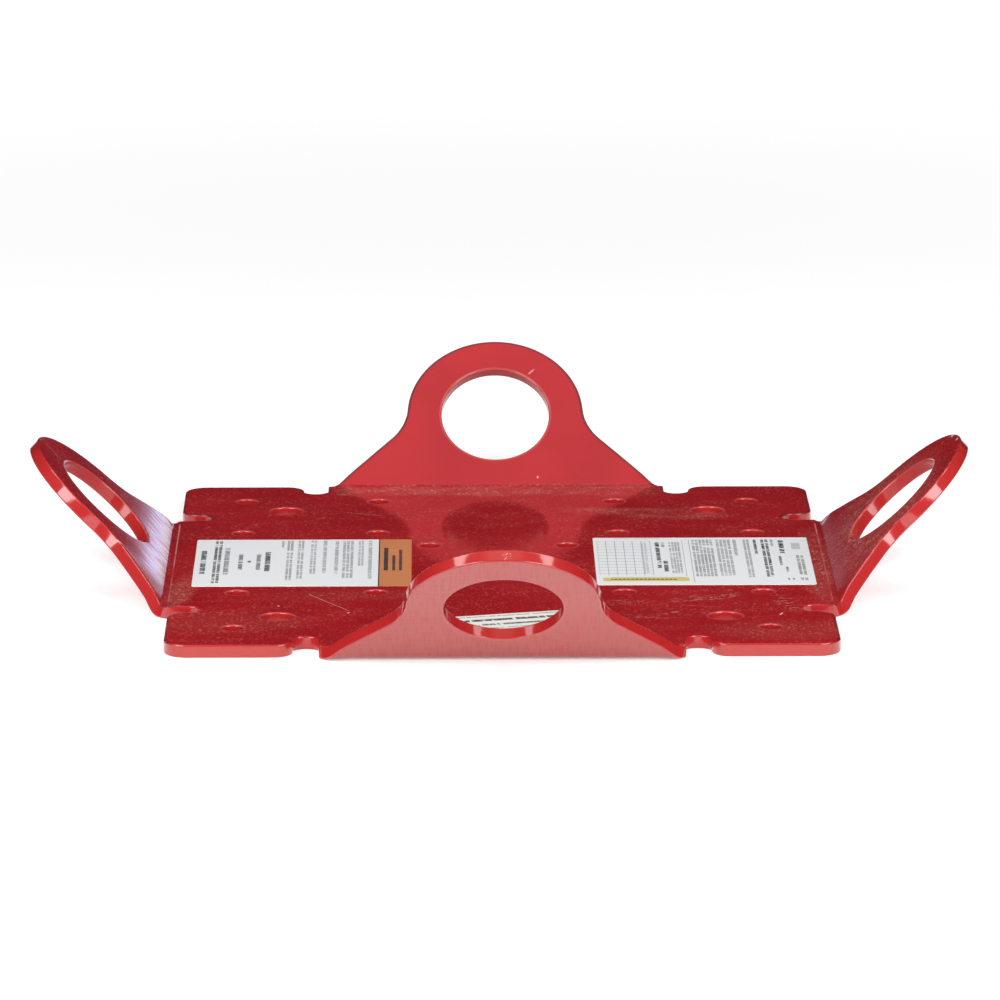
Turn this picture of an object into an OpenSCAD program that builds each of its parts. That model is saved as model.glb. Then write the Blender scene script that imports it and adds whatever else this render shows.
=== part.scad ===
// Plate anchor: a square steel plate whose four sides carry bent-up lifting ears with round eyes.
// One piece of plate, cut flat, then bent. Millimetres, +Z up, the underside lies on Z = 0
// and the origin is the middle of the plate. Back is +Y, front is -Y.

/* [Plate] */
// Side of the square plate
plate_side = 355.6; // [330:1:420]
// Thickness of the plate with its coating
plate_t = 7.1; // [4:0.1:10]
// Radius of the plate's four outer corners
corner_r = 12.7; // [4:0.5:18]

/* [Bend reliefs] */
// Width of an ear where it leaves the plate
root_w = 192.4; // [170:1:200]
// Width of the slot on each side of an ear
notch_w = 13.6; // [8:0.5:18]
// How far a slot's round end lies inside the plate's edge
notch_depth = 17.3; // [12:0.5:24]
// Rounding of the plate's corner beside a slot
notch_corner_r = 10; // [4:0.5:14]

/* [Ears] */
// Angle that an ear is bent up by, in degrees
bend_angle = 44; // [25:1:60]
// Inner radius of the bend
bend_r = 6; // [4:0.5:10]
// How far inside the plate's edge the bend starts
bend_inset = 0.2; // [0:0.1:3]
// Width of an ear between its slopes, at the end of the bend
slope_w = 180.4; // [160:0.2:184]
// Distance up an ear from the end of the bend to the middle of its eye
eye_reach = 46.8; // [44:0.1:60]
// Radius of an ear's round head
head_r = 50.8; // [44:0.5:56]
// Diameter of an eye
eye_d = 62; // [30:1:76]
// Radius of the hollow between an ear's slope and its head
neck_r = 32; // [20:1:40]

/* [Fastening holes] */
// Diameter of the small holes
small_hole_d = 11.2; // [8:0.1:14]
// Spacing of the outer small holes, from side to side
outer_pitch = 284; // [270:1:300]
// Spacing of the inner small holes, from side to side
inner_pitch = 134; // [120:1:150]
// Spacing of the four holes round the middle
centre_pitch = 76; // [50:1:90]
// Diameter of the large corner holes
large_hole_d = 17.6; // [14:0.1:22]
// Spacing of the large holes, from side to side
large_pitch = 238; // [228:1:248]

/* [Labels] */
// Thickness of the label film
label_t = 0.25; // [0.2:0.05:0.5]
// Rounding of a label's corners
label_corner_r = 1.5; // [0.5:0.5:4]
// Width of the left label
left_label_w = 119; // [90:1:119]
// Depth of the left label, front to back
left_label_d = 104.5; // [80:1:108]
// Middle of the left label, from side to side
left_label_x = -107.5; // [-112:0.5:-106]
// Middle of the left label, front to back
left_label_y = -1.7; // [-3:0.1:3]
// Width of the right label
right_label_w = 119; // [90:1:119]
// Depth of the right label, front to back
right_label_d = 106; // [80:1:108]
// Middle of the right label, from side to side
right_label_x = 112; // [108:1:114]
// Middle of the right label, front to back
right_label_y = 0; // [-3:0.1:3]
// Width of the front label
front_label_w = 92; // [70:1:104]
// Depth of the front label
front_label_d = 38; // [32:1:46]
// Middle of the front label, from side to side
front_label_x = 4.5; // [0:0.5:9]
// Middle of the front label, front to back
front_label_y = -133.5; // [-138:0.5:-129]
// How far the front label was stuck on crooked, in degrees
front_label_turn = 13.7; // [8:0.1:20]

/* [Hidden] */
fine = 96;
spare = 1;
hair = 0.001;
half_side = plate_side / 2;
half_root = root_w / 2;
bend_start = half_side - bend_inset;
notch_x = half_root + notch_w / 2;
notch_y = half_side - notch_depth + notch_w / 2;

// The ear's outline lies in X and Y with Y = 0 on the end of the bend. Its sides slope
// in at 45 degrees, and a hollow round leads each of them into the head.
slope_sum = slope_w / 2;
neck_reach = head_r + neck_r;
neck_q = slope_sum + neck_r * sqrt(2) - eye_reach;
neck_x = (neck_q + sqrt(2 * pow(neck_reach, 2) - pow(neck_q, 2))) / 2;
neck_y = neck_q - neck_x + eye_reach;
slope_end = [neck_x - neck_r / sqrt(2), neck_y - neck_r / sqrt(2)];
head_start = [neck_x, neck_y - eye_reach] * head_r / neck_reach + [0, eye_reach];

module rounded_square(side, radius) {
    hull_span = side - 2 * radius;
    square([side, hull_span], center = true);
    square([hull_span, side], center = true);
    for (x = [-1, 1], y = [-1, 1])
        translate([x * hull_span / 2, y * hull_span / 2]) circle(r = radius, $fn = fine);
}

// Slot beside an ear, open at the plate's edge, with the plate's corner rounded off beside it
module notch() {
    translate([notch_x, notch_y]) circle(d = notch_w, $fn = fine);
    translate([notch_x - notch_w / 2, notch_y]) square([notch_w, notch_depth + spare]);
    translate([notch_x + notch_w / 2, half_side]) difference() {
        translate([-spare, -notch_corner_r]) square(notch_corner_r + spare);
        translate([notch_corner_r, -notch_corner_r]) circle(r = notch_corner_r, $fn = fine);
    }
}

module base_outline() {
    difference() {
        rounded_square(plate_side, corner_r);
        for (turn = [0:90:270]) rotate(turn) {
            notch();
            mirror([1, 0]) notch();
            translate([-notch_x, bend_start]) square([2 * notch_x, bend_inset + spare]);
        }
    }
}

module square_of_holes(pitch, diameter) {
    for (x = [-1, 1], y = [-1, 1])
        translate([x * pitch / 2, y * pitch / 2, -spare])
            cylinder(d = diameter, h = plate_t + 2 * spare, $fn = fine);
}

// The four small holes of a side, two by two, seen from the middle of the plate
module row_holes() {
    for (turn = [0:90:270], x = [-1, 1]) rotate(turn)
        translate([x * inner_pitch / 2, outer_pitch / 2, -spare])
            cylinder(d = small_hole_d, h = plate_t + 2 * spare, $fn = fine);
}

// Outline of an ear, its slopes run back past the bend
module ear_outline() {
    back = 2 * bend_r + 2 * plate_t;
    difference() {
        polygon([
            [-slope_sum - back, -back], [slope_sum + back, -back],
            slope_end, [neck_x, neck_y], head_start, [0, eye_reach],
            [-head_start.x, head_start.y], [-neck_x, neck_y], [-slope_end.x, slope_end.y]
        ]);
        for (side = [-1, 1])
            translate([side * neck_x, neck_y]) circle(r = neck_r, $fn = fine);
    }
    translate([0, eye_reach]) circle(r = head_r, $fn = fine);
}

// Point at a distance from the bend's axis and at an angle round it, then a way along the ear
function bent(radius, angle, along) =
    [radius * sin(angle) + along * cos(angle), along * sin(angle) - radius * cos(angle)];

// Corner where the two straight stretches of a face of the strip would meet
function bend_corner(radius) = [radius * tan(bend_angle / 2), -radius];

// Side view of the bent strip, with the bend's axis at the origin. Its rounds are a hair
// larger than the bend, so that each meets the straight faces at a definite line.
module strip_profile() {
    outside = bend_r + plate_t;
    length = eye_reach + head_r + spare;
    difference() {
        polygon([
            [0, -outside], bend_corner(outside), bent(outside, bend_angle, 0),
            bent(outside, bend_angle, length), bent(bend_r, bend_angle, length),
            bent(bend_r, bend_angle, 0), bend_corner(bend_r), [0, -bend_r]
        ]);
        difference() {
            polygon([[0, 0], [0, -outside], bend_corner(outside), bent(outside, bend_angle, 0)]);
            circle(r = outside + hair, $fn = fine);
        }
    }
    difference() {
        polygon([[0, 0], [0, -bend_r], bend_corner(bend_r), bent(bend_r, bend_angle, 0)]);
        circle(r = bend_r + hair, $fn = fine);
    }
}

// Ear of the back side with its bend, standing on the plate's edge
module ear() {
    translate([0, bend_start, plate_t + bend_r]) difference() {
        intersection() {
            rotate([90, 0, 90]) translate([0, 0, -half_root]) linear_extrude(root_w) strip_profile();
            rotate([bend_angle, 0, 0]) translate([0, 0, -bend_r - plate_t - spare])
                linear_extrude(bend_r + plate_t + 2 * spare) ear_outline();
        }
        rotate([bend_angle, 0, 0]) translate([0, eye_reach, -bend_r - plate_t - spare])
            cylinder(d = eye_d, h = plate_t + 2 * spare, $fn = fine);
    }
}

module anchor_plate() {
    color([0.62, 0.12, 0.15]) union() {
        difference() {
            linear_extrude(plate_t) base_outline();
            square_of_holes(outer_pitch, small_hole_d);
            square_of_holes(inner_pitch, small_hole_d);
            square_of_holes(centre_pitch, small_hole_d);
            square_of_holes(large_pitch, large_hole_d);
            row_holes();
        }
        for (turn = [0:90:270]) rotate(turn) ear();
    }
}

// A label lies on the plate's upper face
module label(width, depth) {
    translate([0, 0, plate_t]) linear_extrude(label_t) {
        square([width, depth - 2 * label_corner_r], center = true);
        square([width - 2 * label_corner_r, depth], center = true);
        for (x = [-1, 1], y = [-1, 1])
            translate([x * (width / 2 - label_corner_r), y * (depth / 2 - label_corner_r)])
                circle(r = label_corner_r, $fn = fine);
    }
}

module left_label() {
    color([0.88, 0.90, 0.90]) translate([left_label_x, left_label_y]) label(left_label_w, left_label_d);
}

module right_label() {
    color([0.88, 0.90, 0.90]) translate([right_label_x, right_label_y])
        label(right_label_w, right_label_d);
}

module front_label() {
    color([0.92, 0.92, 0.90]) translate([front_label_x, front_label_y])
        rotate(front_label_turn) label(front_label_w, front_label_d);
}

anchor_plate();
left_label();
right_label();
front_label();
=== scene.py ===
"""Looks of the plate anchor: a lifting plate cut from one sheet, bent up at its four sides and coated red."""

import math

import bpy
from mathutils import Matrix, Vector


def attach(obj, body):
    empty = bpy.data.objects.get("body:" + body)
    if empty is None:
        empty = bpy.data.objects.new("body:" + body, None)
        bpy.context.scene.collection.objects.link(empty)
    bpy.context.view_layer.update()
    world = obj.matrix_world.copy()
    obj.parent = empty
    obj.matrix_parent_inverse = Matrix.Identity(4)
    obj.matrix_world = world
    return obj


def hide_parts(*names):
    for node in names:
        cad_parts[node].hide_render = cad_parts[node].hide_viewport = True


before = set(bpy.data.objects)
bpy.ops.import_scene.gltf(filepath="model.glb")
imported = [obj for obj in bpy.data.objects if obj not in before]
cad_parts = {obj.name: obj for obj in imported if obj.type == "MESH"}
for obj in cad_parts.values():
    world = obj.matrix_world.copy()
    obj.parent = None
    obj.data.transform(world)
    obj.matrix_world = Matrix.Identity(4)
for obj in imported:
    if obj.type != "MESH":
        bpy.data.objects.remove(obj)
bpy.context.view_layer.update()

MM = 0.001
SIDES = 4

# The plate, as in the part's source
HALF_SIDE = 177.8 * MM
THICKNESS = 7.1 * MM
CORNER_RADIUS = 12.7 * MM

# The slots beside each ear
HALF_ROOT = 96.2 * MM
SLOT_WIDTH = 13.6 * MM
SLOT_DEPTH = 17.3 * MM
SLOT_MOUTH_RADIUS = 10 * MM

# The bends
BEND_ANGLE = math.radians(44)
BEND_INSET = 0.2 * MM
INNER_BEND_RADIUS = 6 * MM
BEND_START = HALF_SIDE - BEND_INSET
MIDDLE_BEND_RADIUS = INNER_BEND_RADIUS + THICKNESS / 2
BEND_LENGTH = MIDDLE_BEND_RADIUS * BEND_ANGLE
BEND_END = BEND_START + BEND_LENGTH
BEND_CUTS = 11

# How the real ears leave the plain bend: some start late, then they spring steeper at the root
# and ease off further up, and beside a slot the sheet stays down a little longer
LATE_START = {"back": 0.5 * MM, "left": 1.1 * MM, "front": 0, "right": 0.2 * MM}
EASE_RISE = {"back": 0.6 * MM, "left": 2.0 * MM, "front": 0.4 * MM, "right": 1.2 * MM}
EASE_REACH = {"back": 30 * MM, "left": 38 * MM, "front": 30 * MM, "right": 28 * MM}
EASE_START = 4 * MM
DROOP = 1.5 * MM
DROOP_MIDDLE = 8 * MM
DROOP_REACH = 8 * MM
DROOP_EDGE = 78 * MM

# Cuts that let the sheet follow those shapes: across an ear beyond its bend, and lengthwise at its sides
ROOT_STEP = 3 * MM
ROOT_CUTS = 11
HEAD_STEP = 9 * MM
EDGE_CUTS = (-92, -87, -80, -72, 72, 80, 87, 92)
BESIDE_EAR = HALF_ROOT + MM

# The ears, measured on the flat sheet from the end of the bend
HALF_SLOPE = 90.2 * MM
EYE_REACH = 46.8 * MM
HEAD_RADIUS = 50.8 * MM
EYE_RADIUS = 31 * MM
NECK_RADIUS = 32 * MM

# The holes
SMALL_HOLE_RADIUS = 5.6 * MM
LARGE_HOLE_RADIUS = 8.8 * MM
OUTER_HOLE = 142 * MM
INNER_HOLE = 67 * MM
MIDDLE_HOLE = 38 * MM
LARGE_HOLE = 119 * MM
SMALL_HOLES = (
    (OUTER_HOLE, OUTER_HOLE), (INNER_HOLE, INNER_HOLE), (MIDDLE_HOLE, MIDDLE_HOLE),
    (OUTER_HOLE, INNER_HOLE), (INNER_HOLE, OUTER_HOLE),
)

# How finely the outline's rounds and the holes are drawn
HEAD_STEPS = 44
NECK_STEPS = 16
SLOT_STEPS = 28
MOUTH_STEPS = 16
CORNER_STEPS = 10
EYE_POINTS = 128
HOLE_POINTS = 56
PUNCH_HEIGHT = 3 * THICKNESS
MERGE_REACH = MM / 50

# The coating's softened edges
RIM_ROUND = 0.9 * MM
RIM_STEPS = 4
RIM_BAND = 2.3 * MM

# How edges and faces are told apart
STRAIGHT_ANGLE = math.radians(0.4)
RIM_ANGLE = math.radians(40)
SMOOTH_ANGLE = math.radians(38)
FLAT_ENOUGH = 0.999
FLAT_WEIGHT = 100

# The films of the labels
LABEL_THICKNESS = 0.25 * MM
LABEL_CORNER_RADIUS = 1.5 * MM
LABEL_CORNER_STEPS = 8
LABEL_RIM_ROUND = LABEL_THICKNESS * 0.4
LABEL_RIM_STEPS = 2

# Each label's width and depth, its middle on the plate, and how far it is turned
FRONT_LABEL_MIDDLE = (4.5 * MM, -133.5 * MM)
FRONT_LABEL_TURN = math.radians(13.7)
LEFT_LABEL = (119 * MM, 104.5 * MM, -107.5 * MM, -1.7 * MM, 0)
RIGHT_LABEL = (119 * MM, 106 * MM, 112 * MM, 0, 0)
FRONT_LABEL = (92 * MM, 38 * MM, *FRONT_LABEL_MIDDLE, FRONT_LABEL_TURN)

# Marks on the plate: where they lie, in millimetres, and how they are turned
PRESS_LINE = 178.1
LEFT_ROOT = (-181, 0, 9)
WIPE_TURN = math.radians(-8)
STREAK_TURN = math.radians(20)

# Colours of the coating and of what lies on it
RED = (0.400, 0.0120, 0.0170, 1)
DEEP_RED = (0.350, 0.0085, 0.0130, 1)
EDGE_RED = (0.390, 0.0160, 0.0165, 1)
# A separate tone for the front-facing cut edges: painted light, standing in for how the front light falls on
# them
FRONT_LIT_EDGE_RED = (0.370, 0.0180, 0.0110, 1)
# Painted shade along the outline's rims at the back and at the sides
PAINTED_RIM_SHADE = (0.090, 0.0080, 0.0130, 1)
# A painted highlight on the rims of the holes and eyes
PALE_RIM_HIGHLIGHT = (0.80, 0.30, 0.28, 1)
GRAIN_RED = (0.74, 0.095, 0.085, 1)
# A paler pink painted on the down-facing faces: a painted reflection of the white floor
PAINTED_FLOOR_REFLECTION = (0.415, 0.075, 0.068, 1)
DUST = (0.58, 0.33, 0.26, 1)
# A lavender film: a painted reflection of the glare at the left ear's root
PAINTED_GLARE_FILM = (0.62, 0.36, 0.44, 1)
# Pale scratches, also used for painted highlights along the left ear's front arris
SCRATCH_AND_HIGHLIGHT = (0.78, 0.46, 0.46, 1)
FINE_SCRATCH = (0.70, 0.30, 0.30, 1)

# Colours of the labels
PAPER = (0.845, 0.865, 0.875, 1)
WARM_PAPER = (0.86, 0.85, 0.80, 1)
INK = (0.035, 0.040, 0.045, 1)
ORANGE = (0.60, 0.225, 0.092, 1)
YELLOW = (0.74, 0.58, 0.16, 1)
STAIN = (0.62, 0.60, 0.50, 1)
INK_GAIN = 1.2

# The floor: its size in metres, its colour, and its glow near the plate and far away, in millimetres
FLOOR_SIZE = 14
FLOOR_COLOUR = (0.9, 0.9, 0.9, 1)
FLOOR_GLOW = 0.38
FAR_FLOOR_GLOW = 1.05
GLOW_NEAR = 500
GLOW_FAR = 3000

# The room's light by direction, with a lavender panel low behind on the right
ROOM_LIGHT_SIDE = (0, -0.5, 0.866)
ROOM_DARK = (0.012, 0.012, 0.014, 1)
ROOM_LOW = (0.26, 0.21, 0.29, 1)
ROOM_BRIGHT = (0.23, 0.23, 0.23, 1)
ROOM_CEILING = (0.80, 0.80, 0.80, 1)
PANEL_LAVENDER = (0.95, 1.00, 1.45, 1)
PANEL_MIDDLE = 0.24

# The softboxes: angles in degrees, distance and size in metres, power in watts
SIDE_AZIMUTH = 137
TOP_AZIMUTH = 101
FRONT_AZIMUTH = 180
SIDE_SOFTBOX = {"elevation": 31, "distance": 1.7, "size": (0.95, 0.85), "power": 17.0, "mirrored": True}
TOP_SOFTBOX = {"elevation": 54, "distance": 1.7, "size": (0.40, 0.70), "power": 4.0, "mirrored": True}
FRONT_SOFTBOX = {"elevation": 9, "distance": 4.4, "size": (2.4, 0.8), "power": 62, "mirrored": False}

# The camera: place, aim and reach in metres, lens and sensor in millimetres
CAMERA_PLACE = Vector((-0.0368, -3.5600, 0.8993))
CAMERA_AIM = Vector((0.0005, 0, 0.0419))
CAMERA_LENS = 240.8
CAMERA_SENSOR = 36
CAMERA_REACH = 100


def deselect_everything():
    bpy.ops.object.select_all(action="DESELECT")


def take(piece):
    """Selects one piece alone and makes it the active one."""
    deselect_everything()
    piece.select_set(True)
    bpy.context.view_layer.objects.active = piece


def edit(piece):
    """Goes into edit mode with one piece, choosing by points."""
    take(piece)
    bpy.ops.object.mode_set(mode="EDIT")
    bpy.ops.mesh.select_mode(type="VERT")


def done():
    """Leaves edit mode."""
    bpy.ops.object.mode_set(mode="OBJECT")


def choose_whole_mesh():
    bpy.ops.mesh.select_all(action="SELECT")


def thicken(height):
    """Draws the chosen faces up by a height and turns all faces outwards."""
    bpy.ops.mesh.extrude_region_move(TRANSFORM_OT_translate={"value": (0, 0, height)})
    choose_whole_mesh()
    bpy.ops.mesh.normals_make_consistent(inside=False)


def choose_faces(piece, wanted):
    """Selects the faces that wanted says yes to, and goes on in edit mode."""
    edit(piece)
    bpy.ops.mesh.select_mode(type="FACE")
    bpy.ops.mesh.select_all(action="DESELECT")
    done()
    for face in piece.data.polygons:
        face.select = wanted(face.center, face.normal)
    bpy.ops.object.mode_set(mode="EDIT")


def finish_modifier(piece, kind, name, **settings):
    """Adds a modifier to a piece and applies it at once."""
    take(piece)
    modifier = piece.modifiers.new(name, kind)
    for setting, value in settings.items():
        setattr(modifier, setting, value)
    bpy.ops.object.modifier_apply(modifier=name)


def shade(piece):
    """Smooth shading over the rounds, while the large faces stay flat."""
    take(piece)
    bpy.ops.object.shade_smooth_by_angle(angle=SMOOTH_ANGLE)
    finish_modifier(piece, "WEIGHTED_NORMAL", "flat_faces", keep_sharp=True, weight=FLAT_WEIGHT)


def side_frame(side):
    """Turn that brings the back side round to one of the four sides."""
    return Matrix.Rotation(side * math.pi / 2, 3, "Z")


def start_point(name, x, y):
    """A mesh of one point, ready to be drawn into an outline."""
    deselect_everything()
    bpy.ops.mesh.primitive_plane_add(size=MM, location=(0, 0, 0))
    piece = bpy.context.object
    piece.name = name
    edit(piece)
    choose_whole_mesh()
    bpy.ops.mesh.merge(type="CENTER")
    bpy.ops.transform.translate(value=(x, y, 0))
    return piece


def draw_arc(centre, turn, steps):
    middle = (centre[0], centre[1], 0)
    bpy.ops.mesh.spin(steps=steps, dupli=False, angle=turn, center=middle, axis=(0, 0, 1))


def draw_line(right, away):
    bpy.ops.mesh.extrude_region_move(TRANSFORM_OT_translate={"value": (right, away, 0)})


def draw_flat_sheet():
    """The outline of one eighth of the flat sheet, from the top of an ear's head to the plate's corner."""
    head = Vector((0, BEND_END + EYE_REACH))
    reach = HEAD_RADIUS + NECK_RADIUS
    slope_sum = HALF_SLOPE + NECK_RADIUS * math.sqrt(2) - EYE_REACH
    neck_x = (slope_sum + math.sqrt(2 * reach ** 2 - slope_sum ** 2)) / 2
    neck = head + Vector((neck_x, slope_sum - neck_x))
    head_turn = math.atan2(neck.x - head.x, neck.y - head.y)
    neck_turn = head_turn - math.pi / 4
    slope_end = neck - Vector((NECK_RADIUS, NECK_RADIUS)) / math.sqrt(2)
    root = Vector((HALF_ROOT, BEND_END + HALF_SLOPE - HALF_ROOT))
    slot_middle = Vector((HALF_ROOT + SLOT_WIDTH / 2, HALF_SIDE - SLOT_DEPTH + SLOT_WIDTH / 2))
    slot_outside = HALF_ROOT + SLOT_WIDTH
    mouth = Vector((slot_outside + SLOT_MOUTH_RADIUS, HALF_SIDE - SLOT_MOUTH_RADIUS))
    corner = HALF_SIDE - CORNER_RADIUS
    sheet = start_point("anchor_sheet", 0, head.y + HEAD_RADIUS)
    draw_arc(head, head_turn, HEAD_STEPS)
    draw_arc(neck, -neck_turn, NECK_STEPS)
    draw_line(root.x - slope_end.x, root.y - slope_end.y)
    draw_line(0, slot_middle.y - root.y)
    draw_arc(slot_middle, -math.pi, SLOT_STEPS)
    draw_line(0, mouth.y - slot_middle.y)
    draw_arc(mouth, math.pi / 2, MOUTH_STEPS)
    draw_line(corner - mouth.x, 0)
    draw_arc((corner, corner), math.pi / 4, CORNER_STEPS)
    done()
    return sheet


def complete_outline(sheet):
    """Mirrors the eighth to a whole side, turns copies of it to the other sides and fills the sheet."""
    finish_modifier(
        sheet, "MIRROR", "other_half", use_axis=(True, False, False), merge_threshold=MERGE_REACH,
    )
    edit(sheet)
    choose_whole_mesh()
    for side in range(SIDES - 1):
        bpy.ops.mesh.duplicate()
        bpy.ops.transform.rotate(value=math.pi / 2, orient_axis="Z", center_override=(0, 0, 0))
    choose_whole_mesh()
    bpy.ops.mesh.remove_doubles(threshold=MERGE_REACH)
    bpy.ops.mesh.edge_face_add()
    thicken(THICKNESS)
    done()


def eye_places():
    """Middle and radius of the four eyes on the flat sheet."""
    places = []
    for side in range(SIDES):
        eye = side_frame(side) @ Vector((0, BEND_END + EYE_REACH, 0))
        places.append((eye.x, eye.y, EYE_RADIUS))
    return places


def hole_places():
    """Middle and radius of every fastening hole."""
    places = []
    for x in (-1, 1):
        for y in (-1, 1):
            for right, back in SMALL_HOLES:
                places.append((x * right, y * back, SMALL_HOLE_RADIUS))
            places.append((x * LARGE_HOLE, y * LARGE_HOLE, LARGE_HOLE_RADIUS))
    return places


def punch(sheet, places, points):
    """Cuts round holes through the sheet, each drawn with that many points."""
    punches = []
    for x, y, radius in places:
        deselect_everything()
        bpy.ops.mesh.primitive_cylinder_add(
            vertices=points, radius=radius, depth=PUNCH_HEIGHT, location=(x, y, THICKNESS / 2),
        )
        punches.append(bpy.context.object)
    deselect_everything()
    for piece in punches:
        piece.select_set(True)
    bpy.context.view_layer.objects.active = punches[0]
    bpy.ops.object.join()
    tool = bpy.context.object
    finish_modifier(sheet, "BOOLEAN", "holes", operation="DIFFERENCE", solver="EXACT", object=tool)
    take(tool)
    bpy.ops.object.delete()


def lies_flat(centre, normal):
    return abs(normal.z) > FLAT_ENOUGH


def round_rims(sheet):
    """Lays a narrow band of faces along every rim, then softens the edges as the coating does."""
    edit(sheet)
    choose_whole_mesh()
    bpy.ops.mesh.dissolve_limited(angle_limit=STRAIGHT_ANGLE)
    done()
    choose_faces(sheet, lies_flat)
    bpy.ops.mesh.inset(thickness=RIM_BAND, use_even_offset=True, use_boundary=True)
    done()
    finish_modifier(
        sheet, "BEVEL", "rims", width=RIM_ROUND, segments=RIM_STEPS, limit_method="ANGLE",
        angle_limit=RIM_ANGLE, use_clamp_overlap=True,
    )


def mark_cut_edges(sheet):
    """Keeps for the coating how much each face belongs to a cut edge, before the sheet is bent."""
    share = sheet.data.attributes.new("cut_edge", "FLOAT", "FACE")
    for face in sheet.data.polygons:
        share.data[face.index].value = 1 - abs(face.normal.z)


def mark_rims(sheet):
    """Keeps for the coating which points lie at the rim of a hole or eye, and which at the outline."""
    at_hole = sheet.data.attributes.new("hole_rim", "FLOAT", "POINT")
    at_outline = sheet.data.attributes.new("outline_rim", "FLOAT", "POINT")
    holes = [(Vector((x, y, 0)), radius + RIM_BAND) for x, y, radius in eye_places() + hole_places()]
    at_rim = set()
    for face in sheet.data.polygons:
        if not lies_flat(face.center, face.normal):
            at_rim.update(face.vertices)
    for index in at_rim:
        place = sheet.data.vertices[index].co.copy()
        place.z = 0
        near_hole = any((place - middle).length < reach for middle, reach in holes)
        at_hole.data[index].value = near_hole
        at_outline.data[index].value = not near_hole


def cut_across(sheet, place, direction, wanted):
    """Cuts the chosen faces of the sheet along a plane."""
    choose_faces(sheet, wanted)
    bpy.ops.mesh.bisect(plane_co=place, plane_no=direction)
    done()


def crease_ears(sheet):
    """Cuts the sheet across each ear, closely at the bend, so that it can be bent there."""
    reaches = [BEND_START + BEND_LENGTH * cut / BEND_CUTS for cut in range(1, BEND_CUTS + 1)]
    reaches += [BEND_END + ROOT_STEP * cut for cut in range(1, ROOT_CUTS)]
    top = BEND_END + EYE_REACH + HEAD_RADIUS
    while reaches[-1] + HEAD_STEP < top:
        reaches.append(reaches[-1] + HEAD_STEP)
    for side in range(SIDES):
        turn = side_frame(side)
        away = turn @ Vector((0, 1, 0))
        across = turn @ Vector((1, 0, 0))

        def on_ear(centre, normal):
            return centre.dot(away) > BEND_START and abs(centre.dot(across)) < BESIDE_EAR

        def at_root(centre, normal):
            return on_ear(centre, normal) and centre.dot(away) < BEND_START + DROOP_MIDDLE + DROOP_REACH

        cut_across(sheet, away * BEND_START, away, lambda centre, normal: True)
        for reach in reaches:
            cut_across(sheet, away * reach, away, on_ear)
        for edge in EDGE_CUTS:
            cut_across(sheet, across * edge * MM, across, at_root)


def soft_step(value):
    """0 up to 0, 1 from 1 on, and a soft way between them."""
    value = min(max(value, 0), 1)
    return value * value * (3 - 2 * value)


def bent(across, reach, height, side):
    """Where a point of the flat sheet goes, as its way out and its height."""
    start = BEND_START + LATE_START[side]
    angle = min(max(reach - start, 0) / MIDDLE_BEND_RADIUS, BEND_ANGLE)
    along = max(reach - start - BEND_LENGTH, 0)
    radius = INNER_BEND_RADIUS + THICKNESS - height
    eased = max((reach - start - EASE_START) / EASE_REACH[side], 0)
    lift = EASE_RISE[side] * eased * math.exp(1 - eased)
    hang = max(1 - abs(reach - BEND_START - DROOP_MIDDLE) / DROOP_REACH, 0)
    lift -= DROOP * soft_step(hang) * soft_step((abs(across) - DROOP_EDGE) / (HALF_ROOT - DROOP_EDGE))
    radius -= lift
    flat = min(reach, start)
    out = flat + radius * math.sin(angle) + along * math.cos(angle)
    up = THICKNESS + INNER_BEND_RADIUS - radius * math.cos(angle) + along * math.sin(angle)
    return out, up


def bend_ears(sheet):
    """Bends the four ears up, each with its own small departure."""
    for turns, side in enumerate(EASE_RISE):
        turn = side_frame(turns)
        back = turn.inverted()
        for vertex in sheet.data.vertices:
            place = back @ vertex.co
            if place.y > BEND_START and abs(place.x) < BESIDE_EAR:
                out, up = bent(place.x, place.y, place.z, side)
                vertex.co = turn @ Vector((place.x, out, max(up, 0)))
    sheet.data.update()


def make_plate():
    """The plate as one sheet: drawn, punched, softened at its rims, cut across and bent."""
    sheet = draw_flat_sheet()
    complete_outline(sheet)
    punch(sheet, eye_places(), EYE_POINTS)
    punch(sheet, hole_places(), HOLE_POINTS)
    round_rims(sheet)
    mark_cut_edges(sheet)
    mark_rims(sheet)
    crease_ears(sheet)
    bend_ears(sheet)
    shade(sheet)
    return sheet


def make_label(name, width, depth, x, y, turn):
    """A film of plastic with rounded corners, lying on the plate."""
    deselect_everything()
    bpy.ops.mesh.primitive_plane_add(size=1, location=(0, 0, 0))
    label = bpy.context.object
    label.name = name
    edit(label)
    choose_whole_mesh()
    bpy.ops.transform.resize(value=(width, depth, 1))
    bpy.ops.mesh.bevel(
        offset=LABEL_CORNER_RADIUS, offset_type="OFFSET", segments=LABEL_CORNER_STEPS, affect="VERTICES",
    )
    choose_whole_mesh()
    thicken(LABEL_THICKNESS)
    done()
    place = Matrix.Translation((x, y, THICKNESS)) @ Matrix.Rotation(turn, 4, "Z")
    label.data.transform(place)
    finish_modifier(
        label, "BEVEL", "edge", width=LABEL_RIM_ROUND, segments=LABEL_RIM_STEPS, limit_method="ANGLE",
        angle_limit=RIM_ANGLE,
    )
    shade(label)
    return label


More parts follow.
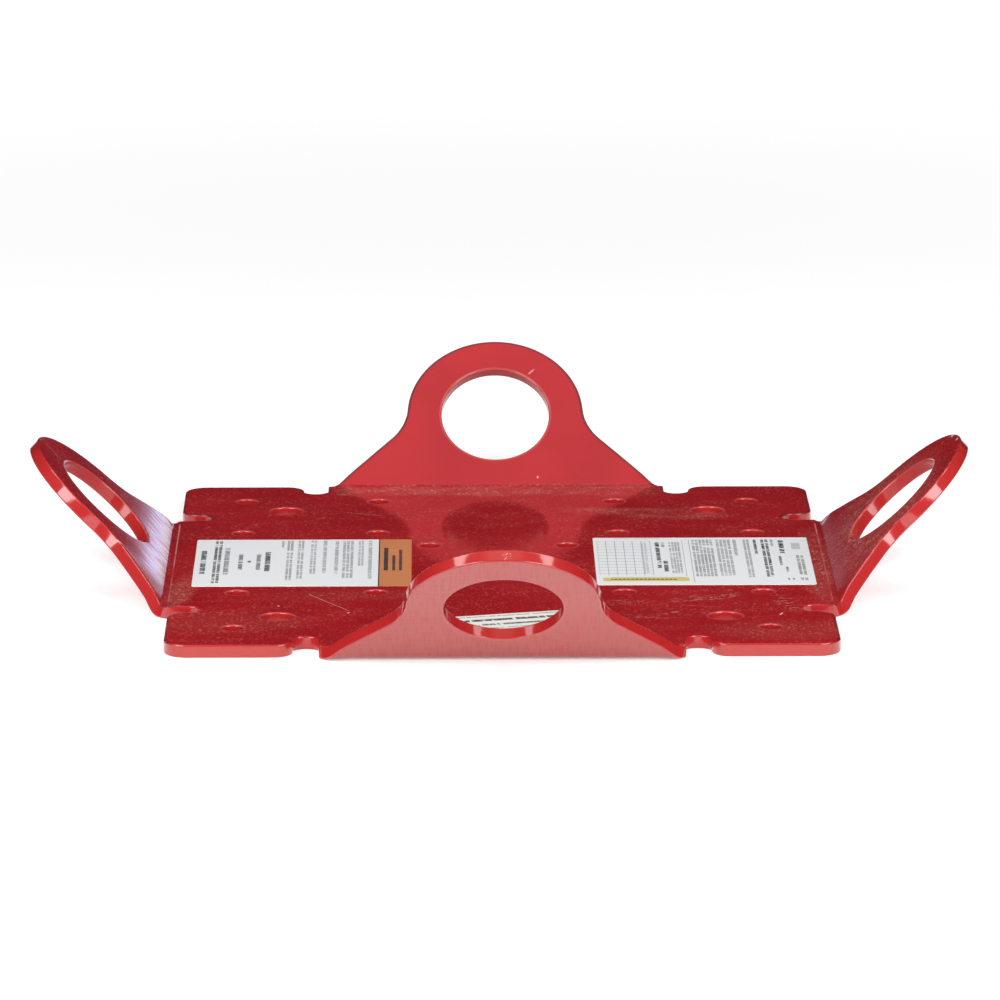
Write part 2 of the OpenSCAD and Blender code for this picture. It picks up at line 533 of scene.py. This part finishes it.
class Wire:
    """A socket of a material, so that shader maths reads as a plain expression."""

    def __init__(self, board, socket):
        self.board = board
        self.socket = socket

    def maths(self, operation, *values):
        node = self.board.add("ShaderNodeMath", {"operation": operation}, dict(enumerate((self,) + values)))
        return Wire(self.board, node.outputs[0])

    def reflected(self, operation, value):
        node = self.board.add("ShaderNodeMath", {"operation": operation}, {0: value, 1: self})
        return Wire(self.board, node.outputs[0])

    def __add__(self, value):
        return self.maths("ADD", value)

    def __radd__(self, value):
        return self.reflected("ADD", value)

    def __sub__(self, value):
        return self.maths("SUBTRACT", value)

    def __rsub__(self, value):
        return self.reflected("SUBTRACT", value)

    def __mul__(self, value):
        return self.maths("MULTIPLY", value)

    def __rmul__(self, value):
        return self.reflected("MULTIPLY", value)

    def __truediv__(self, value):
        return self.maths("DIVIDE", value)

    def __gt__(self, value):
        return self.maths("GREATER_THAN", value)

    def __lt__(self, value):
        return self.maths("LESS_THAN", value)

    def __abs__(self):
        return self.maths("ABSOLUTE")

    def highest(self, value):
        return self.maths("MAXIMUM", value)

    def lowest(self, value):
        return self.maths("MINIMUM", value)

    def power(self, value):
        return self.maths("POWER", value)

    def repeat(self, length):
        """The place within a repeat of that length, from 0 to 1."""
        return (self / length).maths("FRACT")

    def rise(self, start, end):
        """0 before start, 1 after end, and a soft way between them. start may be the larger."""
        limits = {"Value": self, "From Min": min(start, end), "From Max": max(start, end)}
        node = self.board.add("ShaderNodeMapRange", {"interpolation_type": "SMOOTHSTEP"}, limits)
        wire = Wire(self.board, node.outputs["Result"])
        return wire if start < end else 1 - wire

    def between(self, low, high, soft):
        """1 between low and high, with soft ends of that length."""
        return self.rise(low - soft, low + soft) * self.rise(high + soft, high - soft)


class Board:
    """The nodes of one material, or of the room's light."""

    def __init__(self, name, owner=None):
        self.material = owner or bpy.data.materials.new(name)
        self.material.use_nodes = True
        self.tree = self.material.node_tree
        self.tree.nodes.clear()

    def add(self, kind, settings=None, sockets=None):
        """A new node, with its settings made and its sockets wired or filled in."""
        node = self.tree.nodes.new(kind)
        for setting, value in (settings or {}).items():
            setattr(node, setting, value)
        for socket, value in (sockets or {}).items():
            if isinstance(value, Wire):
                self.tree.links.new(value.socket, node.inputs[socket])
            else:
                node.inputs[socket].default_value = value
        return node

    def wire(self, node, output=0):
        return Wire(self, node.outputs[output])

    def places(self):
        """The point on the piece in millimetres, then how far right and how far back it is."""
        coordinates = self.wire(self.add("ShaderNodeTexCoord"), "Object")
        scaled = self.add("ShaderNodeVectorMath", {"operation": "SCALE"}, {0: coordinates, "Scale": 1 / MM})
        point = self.wire(scaled)
        return [point] + self.parts(point)[:2]

    def attribute(self, name):
        node = self.add("ShaderNodeAttribute", {"attribute_type": "GEOMETRY", "attribute_name": name})
        return self.wire(node, "Fac")

    def parts(self, vector):
        """The three parts of a vector."""
        node = self.add("ShaderNodeSeparateXYZ", None, {0: vector})
        return [self.wire(node, part) for part in range(3)]

    def facing(self):
        """How far the surface faces to the right, to the back and up."""
        return self.parts(self.wire(self.add("ShaderNodeNewGeometry"), "Normal"))

    def moved(self, point, location=(0, 0, 0), rotation=(0, 0, 0), scale=(1, 1, 1)):
        """The point in a pattern's own frame: first moved, then turned back, then scaled."""
        sockets = {"Vector": point, "Location": location, "Rotation": rotation}
        placed = self.add("ShaderNodeMapping", {"vector_type": "TEXTURE"}, sockets)
        scaled = self.add("ShaderNodeVectorMath", {"operation": "MULTIPLY"}, {0: self.wire(placed), 1: scale})
        return self.wire(scaled)

    def noise(self, point, size, detail=2, roughness=0.5):
        """Soft noise with lumps of about that size, in millimetres."""
        sockets = {"Vector": point, "Scale": 1 / size, "Detail": detail, "Roughness": roughness}
        return self.wire(self.add("ShaderNodeTexNoise", None, sockets), "Fac")

    def blend(self, mask, first, second):
        """first where mask is 0, second where it is 1."""
        node = self.add("ShaderNodeMix", {"data_type": "RGBA"}, {0: mask, 6: first, 7: second})
        return self.wire(node, 2)

    def choose(self, mask, first, second):
        """The same for plain values."""
        node = self.add("ShaderNodeMix", None, {0: mask, 2: first, 3: second})
        return self.wire(node)

    def line(self, point, start, end, width):
        """1 on a straight line between two places of the plate's face, in millimetres."""
        start, end = Vector(start), Vector(end)
        middle = (start + end) / 2
        length = (end - start).length
        turn = math.atan2(end.y - start.y, end.x - start.x)
        x, y = self.parts(self.moved(point, (middle.x, middle.y, 0), (0, 0, turn)))[:2]
        return abs(x).rise(length / 2, length / 2 - 3 * width) * abs(y).rise(width, width / 3)

    def patch(self, point, middle, half_length, half_width, turn):
        """1 in the middle of a long round patch on the plate's face, falling to 0 at its rim."""
        moved = self.moved(point, (middle[0], middle[1], 0), (0, 0, math.radians(turn)))
        x, y = self.parts(moved)[:2]
        distance = (x / half_length).power(2) + (y / half_width).power(2)
        return distance.rise(1, 0.1)

    def finish(self, sockets):
        """The material, made of one shader with these sockets."""
        shader = self.add("ShaderNodeBsdfPrincipled", None, sockets)
        self.add("ShaderNodeOutputMaterial", None, {"Surface": self.wire(shader)})
        return self.material


def strongest(*masks):
    """The highest of several masks at each point."""
    result = masks[0]
    for mask in masks[1:]:
        result = result.highest(mask)
    return result


def bend_marks(board, x, y, point):
    """Light lines that the press left along the roots of the left and right ears."""
    broken = board.noise(board.moved(point, scale=(0.2, 1, 1)), 14, 3).rise(0.36, 0.60)
    line = abs(abs(x) - PRESS_LINE).rise(0.62, 0.15) * abs(y).rise(90, 84)
    left_fading = 0.40 + 0.60 * y.rise(-30, 50)
    right_fading = 0.25 + 0.45 * y.rise(-10, 60)
    fading = board.choose(x > 0, left_fading, right_fading)
    return line * (0.3 + 0.7 * broken) * fading


def scratches(board, point, up):
    """Single scratches and chips where the photograph shows them, on the plate's upper face."""
    long_one = board.line(point, (-103.3, -71.2), (-81.3, -106.5), 0.24) * 0.8
    behind = board.line(point, (-85.1, 115.3), (-65.0, 107.2), 0.3) * 0.5
    beside = board.line(point, (96, -96), (118, -101), 0.3) * 0.3
    chip = board.patch(point, (-81.4, -111.0), 2.0, 0.8, 70) * 0.8
    small_chip = board.patch(point, (-118.9, -96.3), 1.4, 0.8, 90) * 0.8
    right_chip = board.patch(point, (149.0, -115.5), 3.4, 0.7, 70)
    speck = board.patch(point, (92.5, -111.3), 3.0, 0.9, 15) * 0.5
    return strongest(long_one, behind, beside, chip, small_chip, right_chip, speck) * up.rise(0.9, 0.99)


def ear_marks_and_highlights(board, point, up):
    """Single marks on the ears' inner faces, placed by where they lie seen from above; the two lines along
    the left ear's front arris are painted highlights.
    """
    back = board.line(point, (19.0, 235.0), (23.2, 238.0), 0.5) * 0.55
    left = board.line(point, (-248.4, 6.1), (-239.4, 0.1), 0.3) * 0.6
    # Painted highlights along the left ear's front arris
    high_arris_highlight = board.line(point, (-218.9, -50.5), (-200.7, -58.4), 0.5) * 0.7
    low_arris_highlight = board.line(point, (-202.0, -57.8), (-189.2, -67.2), 0.4) * 0.8
    tip = board.patch(point, (249.0, 15.0), 1.2, 2.6, 0)
    small_tip = board.patch(point, (250.4, 1.0), 1.0, 2.0, 0)
    right = board.line(point, (190.5, -6.5), (194.0, -3.0), 0.6) * 0.8
    speck = board.patch(point, (24.1, 184.2), 0.7, 0.8, 0) * 0.6
    return strongest(back, left, high_arris_highlight, low_arris_highlight, tip, small_tip, right, speck) * up.rise(0.5, 0.65)


def smudges(board, point, x, y):
    """Rubbed-on dirt: streaks wiped about in front on the right, and grains along roots and corners."""
    across = board.moved(point, rotation=(0, 0, STREAK_TURN), scale=(0.30, 1.0, 1))
    streaks = board.noise(across, 2.6, 3, 0.7).rise(0.44, 0.64)
    right_front = board.patch(point, (110, -80), 26, 9, 22)
    right_corner = board.patch(point, (153, -92), 24, 8, -72) * 0.9
    middle = board.patch(point, (66, -90), 20, 9, 10) * 0.5
    low = board.patch(point, (82, -120), 26, 8, 4) * 0.5
    under_label = board.patch(point, (116, -64), 14, 5, 10) * 0.7
    wipes = strongest(right_front, right_corner, middle, low, under_label) * streaks
    wavy = y + board.noise(point, 30, 2) * 16
    lumps = board.noise(board.moved(point, scale=(0.5, 1, 1)), 9, 3, 0.65).rise(0.40, 0.60)
    back_root = wavy.between(164, 188, 4) * abs(x).rise(97, 84) * (0.30 + 0.70 * lumps)
    behind_right = board.patch(point, (84, 112), 58, 15, -10) * (0.2 + 0.8 * lumps)
    corner = board.patch(point, (150, -150), 52, 26, 0) * 0.30
    left = board.patch(point, (-172, -62), 44, 10, 84)
    right = board.patch(point, (173, -10), 96, 11, 90)
    right_ear = board.patch(point, (206, -10), 100, 40, 90)
    sides = strongest(left, right, right_ear) * (0.5 + 0.5 * lumps)
    left_front = board.patch(point, (-150, -130), 60, 30, 0) * 0.25
    near_label = board.patch(point, (-84, -74), 60, 16, 4) * 0.25
    return wipes, strongest(back_root, behind_right, corner, sides, left_front, near_label)


def wiped_root_and_glare(board, point, x, y):
    """Hairlines where the left ear was wiped down towards its root: glossy, with a faint pale film that is a
    painted reflection of the glare there.
    """
    slope = board.moved(point, LEFT_ROOT, (0, BEND_ANGLE, 0))
    along = board.moved(slope, rotation=(0, 0, WIPE_TURN), scale=(0.12, 1, 1))
    hairs = board.noise(along, 3.2, 2, 0.6)
    ragged = x + (hairs - 0.5) * 26
    low = ragged.rise(-196, -187) * (0.50 + 0.50 * hairs.rise(0.40, 0.56))
    higher = ragged.rise(-220, -194) * 0.09
    fading = ragged.rise(-182, -186) * y.rise(-67, -40)
    return (low + higher) * fading * x.rise(-178, -182)


def weave_of_marks(board, point):
    """The fine weave of marks on the dull faces."""
    upright = board.noise(board.moved(point, scale=(1, 0.10, 0.10)), 1.3, 1).rise(0.36, 0.64)
    across = board.noise(board.moved(point, scale=(0.06, 1, 1)), 1.0, 1).rise(0.36, 0.64)
    return upright * 0.6 + across * 0.4


def grains_and_dust(board, point, x, y):
    """How much the coating shows lighter grains, and how much dust lies on it."""
    cloud = board.noise(board.moved(point, scale=(1, 2.2, 1)), 38, 3, 0.6)
    stretched = board.moved(point, scale=(1, 0.50, 1))
    grain = board.noise(stretched, 1.30, 2, 0.6)
    fleck = board.noise(stretched, 2.2, 1, 0.5).rise(0.68, 0.77)
    film = board.noise(board.moved(point, scale=(1, 3, 1)), 3, 4, 0.75).rise(0.46, 0.8)
    wipes, dirt = smudges(board, point, x, y)
    thick = cloud.rise(0.40, 0.66)
    grains = grain.rise(0.46, 0.78) * (0.20 + thick * 0.28 + dirt * 0.35) + fleck * (0.15 + thick * 0.25)
    dust = grain.rise(0.52, 0.74) * (thick * 0.08 + dirt * 0.40) + fleck * 0.07
    dust = dust + film * thick * 0.12 + dirt * 0.14
    return grains, dust.highest(wipes * grain.rise(0.38, 0.60) * 0.55)


def red_coating():
    """Glossy red coating: a little wavy, dusty on top, scratched, wiped at the left ear's root, with painted
    shade, highlights and reflections.
    """
    board = Board("red_coating")
    point, x, y = board.places()
    back, up = board.facing()[1:]
    on_top = up.rise(0.48, 0.80) * back.rise(-0.62, -0.35)
    edge = board.attribute("cut_edge").rise(0.35, 0.95)
    face = 1 - edge
    tone = board.noise(point, 70, 3)
    colour = board.blend(tone.rise(0.35, 0.65), DEEP_RED, RED)

    # The cut edges, with a separate tone on those facing the front, painted to stand in for how the front
    # light falls on them
    front_lit_edges = back.rise(-0.45, -0.85) * y.rise(-165, -172)
    colour = board.blend(edge, colour, board.blend(front_lit_edges, EDGE_RED, FRONT_LIT_EDGE_RED))

    # Painted shade: the outline's rims at the back and at the sides are painted darker
    away = board.attribute("outline_rim").rise(0.3, 0.9) * face * up.rise(0.3, 0.5)
    away = away * y.rise(-20, 20).highest(abs(x).rise(172, 176) * abs(x).rise(184, 180))
    colour = board.blend(away * 0.8, colour, PAINTED_RIM_SHADE)

    # A painted highlight: the rims of the holes and eyes are painted paler
    pale_rim_highlight = board.attribute("hole_rim").rise(0.40, 0.90) * face
    colour = board.blend(pale_rim_highlight * 0.15, colour, PALE_RIM_HIGHLIGHT)

    # The underside and the ears' outer faces are dull, with a fine weave of marks, and are painted a paler
    # pink as a reflection of the white floor
    outer = up.rise(-0.35, -0.6) * face
    floor_reflection_and_weave = outer * (0.66 + weave_of_marks(board, point) * 0.64)
    colour = board.blend(floor_reflection_and_weave.lowest(1.25), colour, PAINTED_FLOOR_REFLECTION)

    # Lighter grains in the coating, and dust where it was rubbed in
    grains, dust = grains_and_dust(board, point, x, y)
    colour = board.blend((on_top * grains).lowest(0.8), colour, GRAIN_RED)
    dust = (on_top * dust).lowest(0.8)
    colour = board.blend(dust, colour, DUST)

    # The faint lavender film at the left ear's root: a painted reflection of the glare there
    wiped = wiped_root_and_glare(board, point, x, y) * up.rise(0.50, 0.60) * face
    colour = board.blend((wiped * 0.55).lowest(1), colour, PAINTED_GLARE_FILM)

    # Scratches and chips, painted highlights along the left ear's front arris, and a scuffed place on the
    # front ear's head
    marks = scratches(board, point, up).highest(ear_marks_and_highlights(board, point, up))
    scuffed = board.noise(board.moved(point, scale=(1, 1, 1.3)), 0.9, 2, 0.7).rise(0.55, 0.66)
    head = board.patch(point, (1.2, -254.5), 3.0, 2.2, 0) * scuffed * up.rise(0.2, 0.4)
    colour = board.blend(bend_marks(board, x, y, point) * on_top, colour, FINE_SCRATCH)
    colour = board.blend(marks.highest(head * 0.7), colour, SCRATCH_AND_HIGHLIGHT)

    # Duller where it is worn or dusty, and clearer on the outline's cut edges and in the wiped hairlines
    rough = 0.070 + edge * 0.020 + dust * 0.35 + marks * 0.3 + floor_reflection_and_weave * 0.05 + tone * 0.03 + away * 0.3
    rough = rough + x.rise(-180, -184) * y.rise(-50, -75) * on_top * 0.25
    clear = board.attribute("cut_edge").rise(0.0, 0.08) * (1 - board.attribute("hole_rim") * edge)
    clear = (clear * 0.6).highest(wiped * 1.1).lowest(1)

    # A fine grain and long low waves
    height = board.noise(point, 2.2, 2, 0.5) * 0.006 + board.noise(point, 42, 1, 0.4) * 0.16
    bump = board.add("ShaderNodeBump", None, {"Strength": 1.0, "Distance": MM, "Height": height})
    return board.finish({
        "Base Color": colour, "Roughness": rough, "IOR": 1.5, "Normal": board.wire(bump),
        "Coat Weight": clear, "Coat Roughness": 0.07,
    })


class Print:
    """Generic bars on a label: rows that only stand for text, with no letters in them."""

    def __init__(self, board, point):
        self.board = board
        self.x, self.y = board.parts(point)[:2]
        self.gaps = board.noise(board.moved(point, scale=(0.25, 1, 1)), 2.1, 1).rise(0.36, 0.43)
        strokes = board.noise(board.moved(point, scale=(0.5, 1, 1)), 0.75, 1)
        self.strokes = 0.60 + 0.40 * strokes.rise(0.40, 0.55)
        self.ink = None

    def area(self, left, right, front, back):
        """1 inside a box on the label, in millimetres."""
        middle_x, middle_y = (left + right) / 2, (front + back) / 2
        inside_x = abs(self.x - middle_x) < (right - left) / 2
        inside_y = abs(self.y - middle_y) < (back - front) / 2
        return inside_x * inside_y

    def put(self, mask, strength):
        """Adds ink where mask is 1."""
        mask = (mask * (strength * INK_GAIN)).lowest(1)
        self.ink = mask if self.ink is None else self.ink.highest(mask)

    def rows(self, left, right, front, back, count=1, strength=0.6):
        """Rows of dashes that run from back to front, side by side."""
        pitch = (right - left) / count
        row = abs((self.x - left).repeat(pitch) - 0.5).rise(0.42, 0.30)
        self.put(self.area(left, right, front, back) * row * self.gaps * self.strokes, strength)

    def bar(self, left, right, front, back, strength=0.8):
        self.put(self.area(left, right, front, back), strength)


def label_finish(board, point, colour, ink):
    """The film's satin surface, a little grubby and wavy, with its ink."""
    colour = board.blend(ink, colour, INK)
    dirt = board.noise(board.moved(point, scale=(1, 2, 1)), 14, 4, 0.7).rise(0.52, 0.80)
    specks = board.noise(point, 0.9, 1).rise(0.70, 0.76)
    colour = board.blend((dirt * 0.16 + specks * 0.25).lowest(1), colour, STAIN)
    waves = board.noise(point, 11, 2)
    bump = board.add("ShaderNodeBump", None, {"Strength": 0.6, "Distance": MM, "Height": waves * 0.05})
    return board.finish({
        "Base Color": colour, "Roughness": 0.34 + dirt * 0.2, "IOR": 1.45, "Normal": board.wire(bump),
    })


def left_label_film():
    """White film with a brown-orange field at its inner end and rows of dashes."""
    board = Board("left_label_film")
    point = board.places()[0]
    page = Print(board, point)
    page.rows(-164.3, -160.2, -27, 25, 1, 0.80)
    page.rows(-157.0, -152.4, -47, 47, 2, 0.80)
    page.rows(-151.4, -147.6, -28, 31, 1, 0.65)
    page.rows(-143.4, -140.2, -18, 18, 1, 0.75)
    page.bar(-138.0, -136.2, -1.5, 2.5, 0.7)
    page.rows(-133.6, -130.4, -18, 18, 1, 0.65)
    page.rows(-129.0, -125.0, -21, 22, 1, 0.85)
    page.rows(-120.2, -118.2, 33, 48, 1, 0.5)
    page.rows(-117.0, -113.2, -42, 48, 2, 0.55)
    page.rows(-111.0, -107.3, -39, 48, 2, 0.5)
    page.rows(-103.9, -100.3, -27, 48, 2, 0.5)
    page.rows(-97.2, -94.4, -26, 48, 1, 0.45)
    page.rows(-90.6, -87.9, -27, 48, 1, 0.5)
    page.rows(-86.2, -79.8, -37, 48, 3, 0.5)
    page.rows(-77.6, -74.2, -9, 48, 2, 0.45)
    page.rows(-72.2, -69.4, -38, 48, 1, 0.45)
    page.bar(-66.2, -65.5, -60, 60, 0.85)
    page.bar(-63.2, -60.9, -20, 31, 0.8)
    page.bar(-58.6, -56.9, -20, 14, 0.75)
    page.bar(-54.9, -53.2, -20, 27, 0.75)
    field = page.x > -65.6
    return label_finish(board, point, board.blend(field, PAPER, ORANGE), page.ink)


def right_label_film():
    """White film with a ruled table and a yellow bar at its inner part, and rows of dashes."""
    board = Board("right_label_film")
    point = board.places()[0]
    page = Print(board, point)
    columns = abs((page.x - 54.6).repeat(4.9) - 0.5) > 0.455
    lines = abs((page.y - 45.0).repeat(6.6) - 0.5) > 0.40
    page.put(page.area(54.6, 84.2, -32, 45) * columns.highest(lines * 0.55), 0.42)
    page.rows(78.4, 82.0, -30, 42, 2, 0.30)
    page.bar(64, 90, 50.4, 51.4, 0.35)
    page.bar(61, 101, -37.6, -36.4, 0.35)
    page.rows(86.2, 89.4, -16, 43, 1, 0.85)
    page.rows(89.7, 93.0, -24, 0, 1, 0.85)
    page.rows(89.7, 92.2, 30, 43, 1, 0.7)
    page.rows(94.0, 100.4, -28, 43, 4, 0.50)
    page.bar(101.7, 102.0, -36, 46, 0.45)
    page.bar(105.4, 105.8, -48, 48, 0.5)
    page.rows(106.8, 118.9, -35, 48, 6, 0.55)
    page.rows(120.2, 128.8, -34, 48, 4, 0.50)
    page.rows(129.6, 132.2, 12, 48, 1, 0.50)
    page.rows(135.4, 139.2, -37, 48, 2, 0.50)
    page.rows(141.0, 143.2, 16, 48, 1, 0.85)
    page.rows(145.2, 149.8, -36, 48, 2, 0.80)
    page.rows(150.4, 152.6, 33, 48, 1, 0.55)
    page.rows(154.6, 158.4, 17, 46, 1, 0.85)
    page.rows(153.6, 155.6, -10, 10, 1, 0.8)
    page.rows(156.4, 158.4, -25, -14, 1, 0.7)
    page.bar(156.6, 157.6, -43, -39, 0.6)
    page.bar(159.2, 160.2, -43, -39, 0.6)
    page.bar(162.0, 166.8, 26, 40, 0.30)
    page.rows(163.2, 167.8, -32, 12, 2, 0.60)
    page.rows(163.2, 167.8, -44, -38, 2, 0.55)
    dashes = page.x.repeat(2.3) < 0.74
    page.put(page.area(60.5, 96.5, -42.2, -40.2) * dashes, 0.85)
    yellow = page.area(56.2, 103.0, -45.2, -37.4)
    return label_finish(board, point, board.blend(yellow, PAPER, YELLOW), page.ink)


def front_label_film(middle, turn):
    """Plain film that was stuck on crooked, with bars across it."""
    board = Board("front_label_film")
    point = board.places()[0]
    turned = board.moved(point, (middle[0] / MM, middle[1] / MM, 0), (0, 0, turn + math.pi / 2))
    page = Print(board, turned)
    page.rows(14.6, 16.6, -40, 40, 1, 0.65)
    page.rows(5.2, 10.6, -34, 30, 1, 0.95)
    page.rows(-3.4, 0.8, -30, 34, 1, 0.80)
    page.rows(-9.4, -7.4, -36, 36, 1, 0.60)
    page.rows(-14.4, -12.4, -36, 20, 1, 0.60)
    return label_finish(board, turned, WARM_PAPER, page.ink)


def dress(piece, material, body="root"):
    """Gives a piece its one material and its body."""
    piece.data.materials.clear()
    piece.data.materials.append(material)
    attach(piece, body)


def make_floor():
    """A pale floor: matt for the light, and glowing for the camera and for mirrors."""
    deselect_everything()
    bpy.ops.mesh.primitive_plane_add(size=FLOOR_SIZE, location=(0, 0, 0))
    floor = bpy.context.object
    floor.name = "floor"
    board = Board("pale_floor")
    rays = board.add("ShaderNodeLightPath")
    seen = board.wire(rays, "Is Camera Ray").highest(board.wire(rays, "Is Glossy Ray"))
    seen = seen.highest(board.wire(rays, "Is Transmission Ray"))
    matt = board.wire(board.add("ShaderNodeBsdfDiffuse", None, {"Color": FLOOR_COLOUR}))
    x, y = board.places()[1:]
    distance = (x.power(2) + y.power(2)).power(0.5)
    far = distance.rise(GLOW_NEAR, GLOW_FAR) * (FAR_FLOOR_GLOW - FLOOR_GLOW) + FLOOR_GLOW
    glow = board.wire(board.add("ShaderNodeEmission", None, {"Strength": seen * far}))
    both = board.add("ShaderNodeAddShader", None, {0: matt, 1: glow})
    board.add("ShaderNodeOutputMaterial", None, {"Surface": board.wire(both)})
    floor.data.materials.append(board.material)


def direction(azimuth, elevation):
    """A direction seen from the plate: azimuth 0 is towards the back, 90 to the right."""
    turn = math.radians(azimuth)
    tilt = math.radians(elevation)
    return Vector((math.sin(turn) * math.cos(tilt), math.cos(turn) * math.cos(tilt), math.sin(tilt)))


def add_softbox(name, azimuth, kind):
    """A softbox that looks at the plate. The camera doesn't see it; mirrored says if the coating may."""
    light = bpy.data.lights.new(name, "AREA")
    light.shape = "RECTANGLE"
    light.size, light.size_y = kind["size"]
    light.energy = kind["power"]
    lamp = bpy.data.objects.new(name, light)
    bpy.context.scene.collection.objects.link(lamp)
    aim = direction(azimuth, kind["elevation"])
    lamp.location = aim * kind["distance"]
    lamp.rotation_euler = aim.to_track_quat("Z", "Y").to_euler()
    lamp.visible_camera = False
    lamp.visible_glossy = kind["mirrored"]


def light_room():
    """The room: bright above and in front, dark behind, with a low glow and the lavender panel there."""
    world = bpy.data.worlds.new("room")
    bpy.context.scene.world = world
    board = Board("room", world)
    towards = board.wire(board.add("ShaderNodeTexCoord"), "Generated")
    right, back, up = board.parts(towards)
    sockets = {0: towards, 1: ROOM_LIGHT_SIDE}
    side = board.add("ShaderNodeVectorMath", {"operation": "DOT_PRODUCT"}, sockets)
    bright = board.wire(side, "Value").rise(0.0, 0.85)
    low = up.rise(0.060, 0.0) * back.rise(0.2, 0.7)
    ceiling = up.rise(0.88, 0.97)
    panel = up.rise(0.045, 0.020) * abs(right - PANEL_MIDDLE).rise(0.20, 0.13) * back.rise(0.5, 0.8)
    light = board.blend(bright, ROOM_DARK, ROOM_BRIGHT)
    light = board.blend(ceiling, light, ROOM_CEILING)
    light = board.blend(low, light, ROOM_LOW)
    light = board.blend(panel, light, PANEL_LAVENDER)
    sky = board.add("ShaderNodeBackground", None, {"Color": light, "Strength": 1.0})
    board.add("ShaderNodeOutputWorld", None, {"Surface": board.wire(sky)})


def light_studio():
    """Two softboxes in front, two smaller ones high at the sides and a low one behind the camera."""
    add_softbox("left_softbox", -SIDE_AZIMUTH, SIDE_SOFTBOX)
    add_softbox("right_softbox", SIDE_AZIMUTH, SIDE_SOFTBOX)
    add_softbox("left_top_softbox", -TOP_AZIMUTH, TOP_SOFTBOX)
    add_softbox("right_top_softbox", TOP_AZIMUTH, TOP_SOFTBOX)
    add_softbox("front_softbox", FRONT_AZIMUTH, FRONT_SOFTBOX)
    light_room()


def place_camera():
    camera = bpy.data.cameras.new("camera")
    camera.lens = CAMERA_LENS
    camera.sensor_width = CAMERA_SENSOR
    camera.clip_end = CAMERA_REACH
    camera.dof.use_dof = False
    holder = bpy.data.objects.new("camera", camera)
    bpy.context.scene.collection.objects.link(holder)
    holder.location = CAMERA_PLACE
    holder.rotation_euler = (CAMERA_AIM - CAMERA_PLACE).to_track_quat("-Z", "Y").to_euler()
    bpy.context.scene.camera = holder


place_camera()
plate = make_plate()
dress(plate, red_coating())
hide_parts("anchor_plate")

left_label = make_label("left_label_film", *LEFT_LABEL)
right_label = make_label("right_label_film", *RIGHT_LABEL)
front_label = make_label("front_label_film", *FRONT_LABEL)
dress(left_label, left_label_film())
dress(right_label, right_label_film())
dress(front_label, front_label_film(FRONT_LABEL_MIDDLE, FRONT_LABEL_TURN))
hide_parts("left_label")
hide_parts("right_label")
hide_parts("front_label")

make_floor()
light_studio()
bpy.context.scene.view_settings.view_transform = "Standard"
